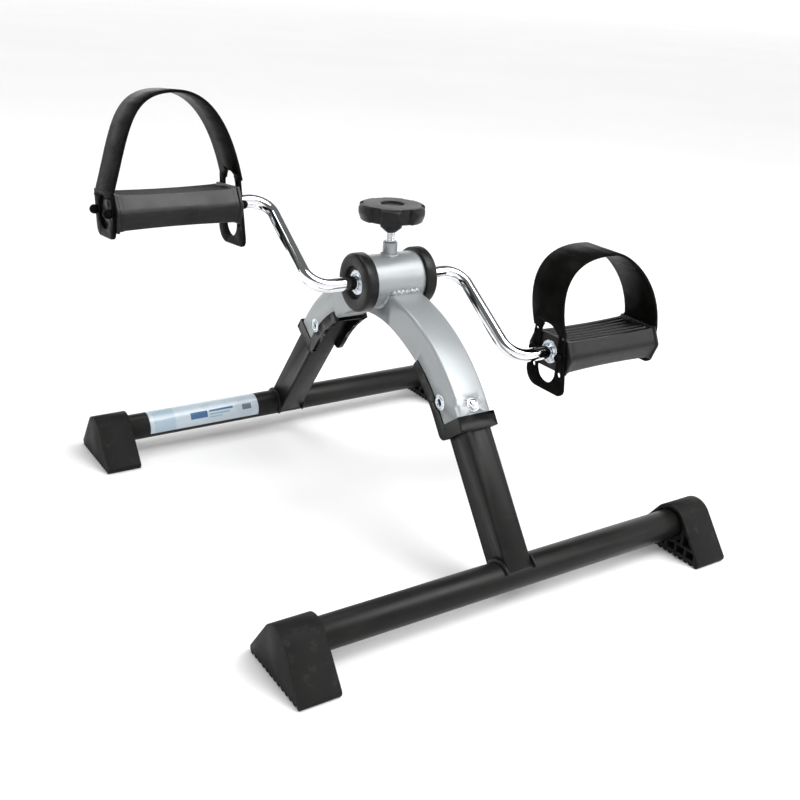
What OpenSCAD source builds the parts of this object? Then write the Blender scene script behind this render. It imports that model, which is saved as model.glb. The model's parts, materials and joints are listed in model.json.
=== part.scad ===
// Folding pedal exerciser: a bent arch tube carries a hub with a one-piece crank,
// and two legs with floor tubes fold in under the arch.
// X runs along the crank, +Y is the back, +Z is up. The floor is z = 0.

/* [Floor tubes and feet] */
// Distance of each floor tube's axis in front of or behind the hub, set by leg length and lean
leg_reach = 135; // [110:1:150]
// Outside diameter of the floor tubes
floor_tube_d = 25.4; // [22:0.1:28]
// Height of the floor tubes' axes above the floor
floor_tube_z = 26.7; // [24:0.1:32]
// Overall width across the outer faces of the feet
stance_w = 412; // [360:1:460]
// Width of one rubber foot along its tube
foot_w = 32; // [26:1:40]
// Depth of a foot's ridged sole, front to back
foot_sole = 77; // [60:1:90]

/* [Legs] */
// Side of the square leg tube
leg_side = 25.4; // [20:0.1:25.4]
// Lean of each leg from the vertical
leg_lean = 36.5; // [30:0.5:42]
// Wall thickness of all the steel tubes
wall = 1.5; // [1.2:0.1:2]

/* [Arch] */
// Width of the arch tube, side to side
arch_w = 32; // [32:0.5:36]
// Depth of the arch tube's section
arch_d = 30; // [30:0.5:34]
// Radius of the arch, to the middle of its tube
arch_r = 141.5; // [135:0.5:150]
// How much the bend has flattened the arch's underside at the crown
crown_flat = 4.5; // [3:0.5:6]

/* [Hub and crank] */
// Height of the crank axis above the middle of the arch tube's crown
hub_rise = 20.5; // [18:0.5:24]
// Outside diameter of the hub
hub_d = 44; // [40:0.5:48]
// Length of the hub tube between its end caps
hub_len = 48; // [40:1:60]
// Diameter of the end caps
cap_d = 50; // [48:0.5:56]
// Thickness of each end cap
cap_w = 11; // [8:0.5:14]
// Diameter of the crank rod
rod_d = 12; // [11:0.5:12]
// How far the hub and crank stand to the left of the arch's middle
hub_left = 4; // [0:0.5:6]
// Throw of the crank, hub axis to pedal axis
crank_throw = 101; // [90:1:110]
// Distance from the middle to each crank arm
crank_arm_x = 74; // [68:1:80]
// Turn of the left crank arm back from straight up
crank_turn = 57; // [0:1:90]

/* [Pedals] */
// Distance from the middle to the inner face of each pedal
pedal_x = 112; // [108:1:120]
// Length of each pedal along its spindle
pedal_len = 105.4; // [95:0.1:115]
// Tilt of the left pedal, front edge up
left_pedal_tilt = 5; // [0:1:10]
// Height of the left strap's top above the pedal axis
strap_rise = 92.5; // [86:0.5:98]
// How much lower the top of the right strap has slumped
right_strap_drop = 4; // [0:0.5:6]
// Width of the strap over the foot
strap_w = 40; // [34:1:44]
// How far the right strap has slumped towards the hub, from 0 (upright) to 1
right_strap_slump = 1; // [0:0.05:1]

/* [Tension knob] */
// Largest diameter of the knob, across its lobes
knob_d = 57; // [54:0.2:60]
// How far round the knob's lobes stand
knob_turn = 56; // [0:1:60]
// Number of lobes on the knob
knob_lobes = 6; // [5:1:8]
// Diameter of the tension screw
screw_d = 8; // [6:1:8]

/* [Hidden] */
$fn = 96;

running = 0.06;       // radial clearance of a turning or sliding fit
face_gap = 0.1;       // gap between faces that turn past each other
seat_gap = 0.05;      // gap between parts pushed together
arc_end = 90 - leg_lean;                 // the arch turns into the leg's direction here
end_y = arch_r * sin(arc_end);           // where each end's straight stretch starts
end_z = floor_tube_z + leg_reach * cos(leg_lean);
arch_z = end_z - arch_r * cos(arc_end);  // centre of the arch's curve
hub_z = arch_z + arch_r + hub_rise;
tube_y = end_y + leg_reach * sin(leg_lean);
arch_tail = 8;        // straight stretch at each end of the arch tube
corner_r = 4;         // outside corner radius of the arch tube
leg_corner_r = 2;
lip_t = 20;           // the liner's lip ends this far down the leg

pivot_up = 9.7;       // pivot above the start of the straight stretch
pivot_in = 5;         // pivot inwards of the leg's middle line
rivet_r = 4;
rivet_head_r = 6.6;
rivet_head_t = 1.6;
slot_start = 31.5;    // angle from the crown at which the channel's slot begins
trim = 4.5;           // side walls cut back along the slot
liner_proud = 1.2;    // liner flange outside the tube
liner_band = 10;      // width of the liner's band along the slot
liner_edge = -arch_d / 2 - 3.5;          // the liner's inner and outer edges, from the middle line
liner_out = arch_d / 2 + liner_proud;

button_stem_r = 4.4;
button_down = -0.4;   // button above the start of the straight stretch
button_stroke = 3;
button_seat = leg_side / 2 + 0.15;       // back of the button's flange

rod_r = rod_d / 2;
bend_r = 18;
spindle_x = pedal_x + pedal_len - 7.4;   // ends of the rod, inside the pedals' outer pockets
hub_r = hub_d / 2;
hub_wall = 2.5;
cap_recess_r = 14;
cap_recess = 4;
bush_r = 8.5;
nut_r = 11;
nut_t = 1.2;

foot_wall = 3;        // closed outer end of each foot
collar_r = 17.5;      // rubber round the tube
ridge_n = 13;
ridge_h = 2.4;
ridge_land = 2.2;
tube_half = stance_w / 2 - foot_wall - seat_gap;

boss_r = 6.25;
boss_top = 33;        // heights from here to knob_top are above the hub's axis
shoe_top = 14;
knob_base = 41;
knob_low = 51.5;
knob_top = 64.5;

plate_t = 2.4;        // thickness of the strap and its end plates
strap_base = 10;      // height above the pedal axis at which the strap starts to curve
strap_proud = 1.2;    // the strap's band stands this far outside its end plates
inner_step = 20;      // height of the band's lower edge on the plate next to the hub
outer_step = 11;      // and on the outboard plate
strap_mid = pedal_x + pedal_len / 2;
strap_half = pedal_len / 2 + plate_t;
pocket_r = 12;        // pocket in each pedal's outer end
pocket_deep = 10;
flange_t = 2.6;       // end flanges of the pedal block
pedal_half_t = 14;
pedal_top_w = 40;
pedal_mid_w = 54;
pedal_low_w = 42;
stud_y = 16.8;
stud_head_r = 3.8;

// Corner points of a rectangle with round corners, centred on the origin
function round_rect(w, h, r, steps = 5) = [
    for (corner = [0:3], i = [0:steps])
        let (a = 90 * corner + 90 * i / steps,
             sx = (corner == 0 || corner == 3) ? 1 : -1,
             sy = (corner < 2) ? 1 : -1)
        [sx * (w / 2 - r) + r * cos(a), sy * (h / 2 - r) + r * sin(a)]
];

// Points of an arc about a centre, from one angle to another
function arc(centre, r, from, to, steps = 24) =
    [for (i = [0:steps]) let (a = from + (to - from) * i / steps) centre + r * [cos(a), sin(a)]];

// A flat shape drawn as (y, z), given thickness along X, centred
module across(w) {
    translate([-w / 2, 0, 0]) rotate([90, 0, 90]) linear_extrude(w) children();
}

// The same shape on the front (-1) or the back (+1) of the machine
module on_side(side) {
    mirror([0, side < 0 ? 1 : 0, 0]) children();
}

// Leg frame: +Y out from the leg's middle line, +Z up along it, from the arch's tangent point
module leg_frame() {
    translate([0, end_y, end_z]) rotate([leg_lean, 0, 0]) children();
}

module rod_x(r, x0, x1) {
    translate([x0, 0, 0]) rotate([0, 90, 0]) cylinder(r = r, h = x1 - x0);
}

// ---- arch ----

module arch_bar(w, d, r) {
    // revolve the section about X, from one end of the curve to the other
    translate([0, 0, arch_z]) rotate([90, 0, 90]) rotate([0, 0, 90 - arc_end])
        rotate_extrude(angle = 2 * arc_end, $fn = 180)
            translate([arch_r, 0]) polygon(round_rect(d, w, r));
}

module tail_bar(w, d, r, from, to) {
    leg_frame() translate([0, 0, -to]) linear_extrude(to - from) polygon(round_rect(w, d, r));
}

module arch_solid(w, d, r, tail) {
    arch_bar(w, d, r);
    for (side = [-1, 1]) on_side(side) tail_bar(w, d, r, 0, tail);
}

module slot_cut() {
    // opens the inner wall between the side walls and trims the side walls' edges
    slot_r = arch_r - arch_d / 2;
    for (side = [-1, 1]) on_side(side) {
        translate([0, 0, arch_z]) rotate([90, 0, 90]) rotate([0, 0, 90 - arc_end - 1])
            rotate_extrude(angle = arc_end - slot_start + 1, $fn = 180)
                translate([slot_r - 1, -arch_w / 2 - 1]) square([trim + 1, arch_w + 2]);
        leg_frame() translate([-arch_w / 2 - 1, -arch_d / 2 - 1, -arch_tail - 1])
            cube([arch_w + 2, trim + 1, arch_tail + 1]);
    }
}

// The flattened underside: a cylinder across the arch, tangent at the crown and out by 28 degrees
module crown_relief(grow) {
    inner_r = arch_r - arch_d / 2;
    fade_y = inner_r * sin(28);
    rise = crown_flat + inner_r * (1 - cos(28));
    relief_r = (pow(rise, 2) + pow(fade_y, 2)) / (2 * rise);
    translate([0, 0, arch_z + inner_r + crown_flat - relief_r])
        rotate([0, 90, 0]) cylinder(r = relief_r + grow, h = 2 * arch_w, center = true, $fn = 180);
}

module arch_tube() color("lightsteelblue") {
    difference() {
        arch_solid(arch_w, arch_d, corner_r, arch_tail);
        crown_relief(0);
        difference() {
            arch_solid(arch_w - 2 * wall, arch_d - 2 * wall, corner_r - wall, arch_tail + 1);
            crown_relief(wall);
        }
        translate([0, 0, hub_z]) rod_x(hub_r + seat_gap, -arch_w, arch_w);
        slot_cut();
        for (side = [-1, 1]) on_side(side) leg_frame() {
            translate([0, -pivot_in, pivot_up]) rod_x(rivet_r + seat_gap, -arch_w, arch_w);
            translate([0, 0, -button_down]) rotate([-90, 0, 0])
                cylinder(r = button_stem_r + running, h = arch_d);
        }
    }
}

// ---- liners at the arch's ends ----

// A point by its distance out from the leg's middle line and down from the tangent point, as (y, z)
function leg_at(out, down) = [
    end_y + out * cos(leg_lean) + down * sin(leg_lean),
    end_z + out * sin(leg_lean) - down * cos(leg_lean)
];

// A point by its distance out from the arch's middle line and degrees past the slot's start
function slot_at(out, past) =
    [0, arch_z] + (arch_r + out) * [sin(slot_start + past), cos(slot_start + past)];

// A box in the leg frame, by its span out from the middle line and down the leg
module leg_box(x0, x1, out0, out1, down0, down1) {
    leg_frame() translate([x0, out0, -down1]) cube([x1 - x0, out1 - out0, down1 - down0]);
}

// Side of the liner: along the slot, then a lip down the leg with one rounded corner
module liner_cheek(x0, x1, outer) {
    round_r = 6;
    inner = liner_edge;
    centre = [0, arch_z];
    translate([x0, 0, 0]) rotate([90, 0, 90]) linear_extrude(x1 - x0) polygon(concat(
        arc(centre, arch_r + outer, 90 - slot_start, 90 - arc_end, 10),
        [leg_at(outer, arch_tail), leg_at(liner_out, arch_tail), leg_at(liner_out, lip_t)],
        [for (a = [0:15:90]) leg_at(inner + round_r * (1 - sin(a)), lip_t - round_r * (1 - cos(a)))],
        arc(centre, arch_r + inner, 90 - arc_end, 90 - slot_start, 10)
    ));
}

module liner_half() {
    inside = arch_w / 2 - wall;
    // inside the tube, through its wall line, and outside it
    liner_cheek(leg_side / 2 + face_gap, inside, arch_d / 2 - corner_r);
    liner_cheek(inside, arch_w / 2, trim - arch_d / 2);
    liner_cheek(arch_w / 2, arch_w / 2 + liner_proud, liner_edge + liner_band);
}

module arch_liner(side) color("black") on_side(side) difference() {
    union() {
        liner_half();
        mirror([1, 0, 0]) liner_half();
        // lip across the leg's outer face, and a web across the top of the slot
        leg_box(-arch_w / 2 - liner_proud, arch_w / 2 + liner_proud,
                leg_side / 2 + seat_gap, liner_out, arch_tail, lip_t);
        across(leg_side + 1) polygon([
            slot_at(liner_edge + 0.5, 0.3), slot_at(-arch_d / 2, 0.3),
            slot_at(-arch_d / 2, 2), slot_at(liner_edge + 0.5, 2)
        ]);
    }
    leg_frame() translate([0, -pivot_in, pivot_up]) {
        rod_x(rivet_r + running, -arch_w, arch_w);
        for (end = [-1, 1]) translate([end * (arch_w / 2 + 5), 0, 0])
            rod_x(rivet_head_r + 0.4, -5, 5);
    }
}

module front_arch_liner() arch_liner(-1);
module rear_arch_liner() arch_liner(1);

// ---- pivot rivets and lock buttons ----

module pivot_rivet(side) color("silver") on_side(side) leg_frame() translate([0, -pivot_in, pivot_up])
    difference() {
        union() {
            rod_x(rivet_r, -arch_w / 2 - rivet_head_t, arch_w / 2 + rivet_head_t);
            for (end = [0, 1]) mirror([end, 0, 0])
                rod_x(rivet_head_r, arch_w / 2 + seat_gap, arch_w / 2 + rivet_head_t);
        }
        rod_x(rivet_r - 1.5, -arch_w, arch_w);
    }

module front_pivot_rivet() pivot_rivet(-1);
module rear_pivot_rivet() pivot_rivet(1);

module lock_button(side) color("gainsboro") on_side(side) leg_frame() translate([0, 0, -button_down])
    rotate([-90, 0, 0]) {
        dome_at = arch_d / 2 + button_stroke - 0.6;
        translate([0, 0, button_seat]) cylinder(r = button_stem_r + 1.2, h = 0.4);
        translate([0, 0, button_seat]) cylinder(r = button_stem_r, h = dome_at - button_seat);
        translate([0, 0, dome_at]) cylinder(r1 = button_stem_r, r2 = 2, h = 1.4);
    }

module front_lock_button() lock_button(-1);
module rear_lock_button() lock_button(1);

// ---- legs ----

module leg_outer(side_w, r) {
    translate([0, 0, -leg_reach]) linear_extrude(leg_reach + 30) polygon(round_rect(side_w, side_w, r));
}

module leg_tube(side) color("dimgray") on_side(side) leg_frame() difference() {
    leg_outer(leg_side, leg_corner_r);
    leg_outer(leg_side - 2 * wall, leg_corner_r - wall / 2);
    translate([0, 0, -leg_reach]) rod_x(floor_tube_d / 2 + seat_gap, -leg_side, leg_side);
    // the top is rounded about the pivot, so that it clears the arch as the leg turns
    top_r = leg_side / 2 + pivot_in;
    translate([0, -pivot_in, pivot_up]) {
        rod_x(rivet_r + running, -leg_side, leg_side);
        difference() {
            translate([-leg_side, -leg_side, 0]) cube([2 * leg_side, 2 * leg_side, 3 * leg_side]);
            rod_x(top_r, -leg_side - 1, leg_side + 1);
        }
        translate([-leg_side, -leg_side, 12.5]) cube([2 * leg_side, 2 * leg_side, leg_side]);
    }
    // an open slot, so that the leg's end can pass the pressed button
    slot_r = button_stem_r + 1.8;
    translate([0, 0, -button_down]) {
        rotate([-90, 0, 0]) cylinder(r = slot_r, h = leg_side);
        translate([-slot_r, 0, 0]) cube([2 * slot_r, leg_side, leg_side + pivot_up]);
    }
}

module front_leg_tube() leg_tube(-1);
module rear_leg_tube() leg_tube(1);

module leg_welds(side) color("dimgray") on_side(side) leg_frame() difference() {
    bead_r = 1.9;
    for (end = [-1, 1]) translate([end * (leg_side / 2 + 0.7), 0, -leg_reach])
        rotate([90, 0, 90]) rotate_extrude(angle = 180) translate([floor_tube_d / 2 + 0.7, 0])
            circle(r = bead_r, $fn = 24);
    translate([0, 0, -leg_reach]) rod_x(floor_tube_d / 2 + seat_gap, -leg_side, leg_side);
    translate([-leg_side / 2 - seat_gap, -leg_side, -leg_reach])
        cube([leg_side + 2 * seat_gap, 2 * leg_side, leg_side]);
}

module front_leg_welds() leg_welds(-1);
module rear_leg_welds() leg_welds(1);

// A leaf spring folded in a V inside the leg's top, with the nose that backs the button
module lock_spring(side) color("silver") on_side(side) leg_frame() {
    leaf_w = 10;
    leaf_t = 0.8;
    back = -leg_side / 2 + wall + 0.3;
    front = 5.5;
    low = -38;
    nose_end = button_seat - button_stroke - seat_gap;
    across(leaf_w) polygon([
        [back, 2], [back, low], [back + 1.2, low - 2], [back + 3.4, low - 2],
        [front, -8], [front, 5], [front - leaf_t, 5], [front - leaf_t, -8],
        [back + 2.6, low - 1.2], [back + 1.5, low - 1.2], [back + leaf_t, low + 0.4], [back + leaf_t, 2]
    ]);
    translate([0, front, -button_down]) rotate([-90, 0, 0])
        cylinder(r = button_stem_r, h = nose_end - front);
}

module front_lock_spring() lock_spring(-1);
module rear_lock_spring() lock_spring(1);

// ---- floor tubes and feet ----

module floor_tube(side) color("#222222") translate([0, side * tube_y, floor_tube_z]) difference() {
    rod_x(floor_tube_d / 2, -tube_half, tube_half);
    rod_x(floor_tube_d / 2 - wall, -tube_half - 1, tube_half + 1);
}

module front_floor_tube() floor_tube(-1);
module rear_floor_tube() floor_tube(1);

// Side outline of a foot without its ridges, (y, z) with the tube's axis at y = 0
module foot_outline(inset = 0) {
    base = foot_sole / 2 - inset;
    r = collar_r - inset;
    // angle at which the sloping side touches the collar
    dist = norm([base, floor_tube_z - ridge_h - 3]);
    touch = acos(r / dist) - atan2(floor_tube_z - ridge_h - 3, base);
    polygon(concat(
        [[-base, ridge_h + inset], [base, ridge_h + inset], [base, ridge_h + 3]],
        arc([0, floor_tube_z], r, touch, 180 - touch, 32),
        [[-base, ridge_h + 3]]
    ));
}

module foot_ridges() {
    pitch = foot_sole / ridge_n;
    for (i = [0:ridge_n - 1]) translate([(i - (ridge_n - 1) / 2) * pitch, 0])
        polygon([
            [-pitch / 2, ridge_h + 0.5], [-ridge_land / 2, 0], [ridge_land / 2, 0],
            [pitch / 2, ridge_h + 0.5], [pitch / 2, ridge_h + 1], [-pitch / 2, ridge_h + 1]
        ]);
}

module foot(side, end) color("#181818") {
    web_t = 2.6;
    pitch = 11;
    shelf_z = 13;
    translate([0, side * tube_y, 0]) mirror([end < 0 ? 1 : 0, 0, 0]) difference() {
        translate([stance_w / 2 - foot_w, 0, 0]) rotate([90, 0, 90]) {
            linear_extrude(foot_w) foot_outline();
            linear_extrude(foot_w) foot_ridges();
        }
        translate([0, 0, floor_tube_z]) {
            rod_x(floor_tube_d / 2 + seat_gap, 0, tube_half + seat_gap);
            rod_x(floor_tube_d / 2 + 2, 0, stance_w / 2 - foot_w + 2);
        }
        // two staggered rows of cells, open towards the machine's middle
        rotate([90, 0, 90]) linear_extrude(stance_w / 2 - 4) difference() {
            foot_outline(3);
            translate([0, floor_tube_z]) circle(r = collar_r - 1.5);
            for (i = [-3:3]) translate([i * pitch - web_t / 2, 0]) square([web_t, shelf_z]);
            translate([-foot_sole, shelf_z - web_t / 2]) square([2 * foot_sole, web_t]);
            for (i = [-2:1]) translate([(i + 0.5) * pitch - web_t / 2, shelf_z]) square([web_t, 60]);
            translate([-foot_sole, floor_tube_z]) square([2 * foot_sole, 60]);
        }
    }
}

module front_left_foot() foot(-1, -1);
module front_right_foot() foot(-1, 1);
module rear_left_foot() foot(1, -1);
module rear_right_foot() foot(1, 1);

module rear_tube_label() color("lightblue") translate([-154, tube_y, floor_tube_z])
    rotate([90, 0, 90]) rotate([0, 0, 62]) rotate_extrude(angle = 142)
        translate([floor_tube_d / 2 + 0.02, 0]) square([0.25, 116]);

// ---- hub ----

module at_hub() {
    translate([-hub_left, 0, hub_z]) children();
}

module hub_tube() color("lightsteelblue") at_hub() difference() {
    rod_x(hub_r, -hub_len / 2, hub_len / 2);
    rod_x(hub_r - hub_wall, -hub_len, hub_len);
    cylinder(r = screw_d / 2 + running, h = hub_d);
}

module hub_end_caps() color("#1a1a1a") at_hub() for (end = [0, 1]) mirror([end, 0, 0]) {
    round_r = 3;
    spigot_x = hub_len / 2 - 12;
    rim_x = hub_len / 2;
    outer_x = rim_x + cap_w;
    rotate([0, 90, 0]) rotate_extrude() polygon(concat(
        [[bush_r, spigot_x], [hub_r - hub_wall - seat_gap, spigot_x],
         [hub_r - hub_wall - seat_gap, rim_x + seat_gap], [cap_d / 2, rim_x + seat_gap]],
        arc([cap_d / 2 - round_r, outer_x - round_r], round_r, 0, 90, 8),
        [[cap_recess_r, outer_x], [cap_recess_r, outer_x - cap_recess],
         [bush_r, outer_x - cap_recess]]
    ));
}

module hub_bushes() color("ivory") at_hub() for (end = [0, 1]) mirror([end, 0, 0]) difference() {
    rod_x(bush_r - seat_gap, hub_len / 2 - 12, hub_len / 2 + cap_w - cap_recess);
    rod_x(rod_r + running, 0, hub_len);
}

module threaded_boss() color("silver") at_hub() difference() {
    union() {
        translate([0, 0, hub_r - 3]) cylinder(r = boss_r, h = boss_top - hub_r + 2);
        translate([0, 0, boss_top - 1]) cylinder(r1 = boss_r, r2 = boss_r - 1, h = 1);
    }
    rod_x(hub_r + seat_gap, -hub_len, hub_len);
    cylinder(r = screw_d / 2 + running, h = hub_d);
}

module hub_weld_beads() color("lightsteelblue") difference() {
    bead = 2.2;
    // the arch's outer wall meets the hub at this distance before and behind its axis
    meet_z = arch_z + arch_r + arch_d / 2 - 1.2;
    meet_y = sqrt(pow(hub_r, 2) - pow(hub_z - meet_z, 2));
    union() {
        for (side = [-1, 1]) {
            translate([0, side * (meet_y + 1), meet_z]) rod_x(bead, -arch_w / 2 + 2, arch_w / 2 - 2);
            translate([side * (arch_w / 2 + 0.9), 0, hub_z]) rotate([90, 0, 90])
                rotate([0, 0, 195]) rotate_extrude(angle = 150) translate([hub_r + 0.6, 0])
                    circle(r = bead, $fn = 24);
        }
        at_hub() translate([0, 0, hub_r - 0.4]) rotate_extrude() translate([boss_r + 0.5, 0])
            circle(r = 1.8, $fn = 24);
    }
    at_hub() rod_x(hub_r + seat_gap, -hub_len, hub_len);
    arch_solid(arch_w + 2 * seat_gap, arch_d + 2 * seat_gap, corner_r, arch_tail);
    at_hub() cylinder(r = boss_r + seat_gap, h = hub_d);
}

// ---- crank ----

module crank_half(end_x) {
    // plane of the crank: the arm rises along +Z at -X, and the spindle ends at -end_x
    arm_x = -crank_arm_x;
    rod_x(rod_r, arm_x + bend_r, 0);
    translate([arm_x + bend_r, 0, bend_r]) rotate([90, 0, 0]) rotate([0, 0, 180])
        rotate_extrude(angle = 90) translate([bend_r, 0]) circle(r = rod_r, $fn = 48);
    translate([arm_x, 0, bend_r]) cylinder(r = rod_r, h = crank_throw - 2 * bend_r);
    translate([arm_x - bend_r, 0, crank_throw - bend_r]) rotate([90, 0, 0])
        rotate_extrude(angle = 90) translate([bend_r, 0]) circle(r = rod_r, $fn = 48);
    translate([0, 0, crank_throw]) rod_x(rod_r, -end_x, arm_x - bend_r);
}

module crank_rod() color("gainsboro") at_hub() rotate([-crank_turn, 0, 0]) {
    crank_half(spindle_x - hub_left);
    rotate([0, 180, 0]) crank_half(spindle_x + hub_left);
}

// A domed push nut with spring teeth, on a rod along X, from x = 0
module star_nut(r) {
    teeth = 8;
    difference() {
        rotate([0, 90, 0]) rotate_extrude() polygon([
            [rod_r + 0.02, 0.5], [rod_r + 0.02, nut_t], [r - 2, nut_t], [r, 0.7], [r, 0], [r - 2, 0]
        ]);
        for (i = [0:teeth - 1]) rotate([i * 360 / teeth, 0, 0])
            translate([-1, -0.6, rod_r - 1]) cube([nut_t + 2, 1.2, 3]);
    }
}

module hub_star_nuts() color("silver") at_hub() for (end = [0, 1]) mirror([end, 0, 0])
    translate([hub_len / 2 + cap_w - cap_recess + face_gap, 0, 0]) star_nut(nut_r);

module pedal_star_nuts() color("silver") for (end = [-1, 1]) at_pedal(end)
    mirror([end < 0 ? 1 : 0, 0, 0]) {
        translate([pedal_x - face_gap, 0, 0]) mirror([1, 0, 0]) star_nut(nut_r - 0.5);
        translate([pedal_x + pedal_len - pocket_deep + face_gap, 0, 0]) star_nut(nut_r - 0.5);
    }

// ---- pedals ----

// The pedal's own frame: its axis along X through the origin, not moved along X
module at_pedal(end) {
    translate([0, 0, hub_z]) rotate([-crank_turn, 0, 0]) translate([0, 0, -end * crank_throw])
        rotate([crank_turn - (end < 0 ? left_pedal_tilt : 0), 0, 0]) children();
}

// Six-sided side outline of a pedal, grown by a margin
module pedal_outline(grow = 0) {
    polygon([
        [-pedal_top_w / 2 - grow, pedal_half_t + grow], [pedal_top_w / 2 + grow, pedal_half_t + grow],
        [pedal_mid_w / 2 + grow, 0], [pedal_low_w / 2 + grow, -pedal_half_t - grow],
        [-pedal_low_w / 2 - grow, -pedal_half_t - grow], [-pedal_mid_w / 2 - grow, 0]
    ]);
}

module pedal_block(end) color("#202020") at_pedal(end) mirror([end < 0 ? 1 : 0, 0, 0]) difference() {
    groove_n = 6;
    union() {
        for (x = [pedal_x, pedal_x + pedal_len - flange_t]) translate([x, 0, 0])
            rotate([90, 0, 90]) linear_extrude(flange_t) pedal_outline(1.2);
        translate([pedal_x + 1, 0, 0]) rotate([90, 0, 90]) linear_extrude(pedal_len - 2) pedal_outline();
    }
    rod_x(bush_r, pedal_x - 1, pedal_x + pedal_len + 1);
    rod_x(pocket_r, pedal_x + pedal_len - pocket_deep, pedal_x + pedal_len + 1);
    for (i = [0:groove_n - 1], z = [-1, 1])
        translate([pedal_x + flange_t, (i - (groove_n - 1) / 2) * 6 - 1, z * pedal_half_t - 1.1])
            cube([pedal_len - 2 * flange_t, 2, 2.2]);
    for (x = [pedal_x - 1, pedal_x + pedal_len - 9], y = [-stud_y, stud_y]) translate([0, y, 0])
        rod_x(2.45, x, x + 10);
}

module left_pedal_block() pedal_block(-1);
module right_pedal_block() pedal_block(1);

module pedal_bushes(end) color("ivory") at_pedal(end) mirror([end < 0 ? 1 : 0, 0, 0]) difference() {
    bush_len = 16;
    for (x = [pedal_x, pedal_x + pedal_len - pocket_deep - bush_len])
        rod_x(bush_r - seat_gap, x, x + bush_len);
    rod_x(rod_r + running, 0, 2 * spindle_x);
}

module left_pedal_bushes() pedal_bushes(-1);
module right_pedal_bushes() pedal_bushes(1);

module pedal_plug(end) color("#181818") at_pedal(end) mirror([end < 0 ? 1 : 0, 0, 0]) {
    face_x = pedal_x + pedal_len;
    rod_x(pocket_r - seat_gap, face_x - 5, face_x - 0.5);
    translate([face_x - 0.5, 0, 0]) rotate([0, 90, 0])
        cylinder(r1 = pocket_r - 2, r2 = pocket_r - 4, h = 1);
}

module left_pedal_plug() pedal_plug(-1);
module right_pedal_plug() pedal_plug(1);

// A point and a direction on a cubic curve with four control points
function curve_point(p, t) =
    pow(1 - t, 3) * p[0] + 3 * pow(1 - t, 2) * t * p[1] + 3 * (1 - t) * t * t * p[2] + pow(t, 3) * p[3];

function curve_slope(p, t) =
    pow(1 - t, 2) * (p[1] - p[0]) + 2 * (1 - t) * t * (p[2] - p[1]) + t * t * (p[3] - p[2]);

// Outer line of the strap from its outboard foot to its top, then down to its inboard foot
function strap_curves(rise, slump) =
    let (half = strap_half + strap_proud,
         top_x = -2.3 - 5.4 * slump)
    [
        [[half, strap_base],
         [half - 18.5 + 16 * slump, strap_base + 0.65 * (rise - strap_base)],
         [top_x + 39.5 - 27.5 * slump, rise],
         [top_x, rise]],
        [[top_x, rise],
         [top_x - 22.5 + 10.5 * slump, rise],
         [-half + 9.7 - 34.4 * slump, inner_step + (0.78 + 0.32 * slump) * (rise - inner_step)],
         [-half, inner_step]]
    ];

module strap_band(rise, slump) {
    steps = 22;
    ways = [for (c = strap_curves(rise, slump), i = [0:steps])
        let (d = curve_slope(c, i / steps))
        [curve_point(c, i / steps), [d[1], -d[0]] / norm(d)]];
    outer = [for (w = ways) w[0]];
    inner = [for (i = [len(ways) - 1:-1:0]) ways[i][0] - plate_t * ways[i][1]];
    rotate([90, 0, 0]) translate([0, 0, -strap_w / 2]) linear_extrude(strap_w) difference() {
        polygon(concat(outer, inner));
        translate([0, strap_base - 1]) square([2 * strap_half, outer_step - strap_base + 1]);
    }
}

// An upright slot with round ends about the axis
module oval(r, low, top) {
    translate([0, top - r]) circle(r = r);
    translate([0, low + r]) circle(r = r);
    translate([-r, low + r]) square([2 * r, top - low - 2 * r]);
}

// The long plate next to the hub, deeper at its back corner; (y, z) about the pedal axis
module inner_plate() {
    low = -35;
    hole_pitch = 16;
    difference() {
        polygon(concat(
            [[-19.5, inner_step + 3], [-19.5, inner_step - 2]],
            arc([-17.5, low + 7], 7, 180, 270, 8),
            arc([11, low + 14], 14, 270, 360, 12),
            [[19.5, inner_step - 2], [19.5, inner_step + 3]]
        ));
        for (y = [-stud_y, stud_y], z = [-hole_pitch, 0, hole_pitch]) translate([y, z])
            circle(r = 2.6, $fn = 32);
    }
}

// The short outboard plate
module outer_plate() {
    low = -20.5;
    round_r = 8;
    half = strap_w / 2 + 0.8;
    difference() {
        polygon(concat(
            [[-half, outer_step + 5]],
            arc([-half + round_r, low + round_r], round_r, 180, 270, 8),
            arc([half - round_r, low + round_r], round_r, 270, 360, 8),
            [[half, outer_step + 5]]
        ));
        for (y = [-stud_y, stud_y]) translate([y, 0]) circle(r = 2.6, $fn = 32);
    }
}

module toe_strap(end, rise, slump) color("black") at_pedal(end) mirror([end < 0 ? 1 : 0, 0, 0])
    translate([strap_mid, 0, 0]) difference() {
        inner_x = -pedal_len / 2 - plate_t;
        union() {
            strap_band(rise, slump);
            translate([inner_x, 0, 0]) rotate([90, 0, 90]) linear_extrude(plate_t) inner_plate();
            translate([pedal_len / 2, 0, 0]) rotate([90, 0, 90]) linear_extrude(plate_t) outer_plate();
        }
        // the openings about the spindle, and the room the pedal takes between the plates
        translate([inner_x - 10, 0, 0]) rotate([90, 0, 90]) linear_extrude(20) oval(12, -28, 27);
        translate([pedal_len / 2 - 10, 0, 0]) rotate([90, 0, 90]) linear_extrude(20) oval(12, -14, 13);
        translate([-pedal_len / 2, -40, -60]) cube([pedal_len, 80, 60 + pedal_half_t + 1.5]);
    }

module left_toe_strap() toe_strap(-1, strap_rise, 0);
module right_toe_strap() toe_strap(1, strap_rise - right_strap_drop, right_strap_slump);

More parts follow.
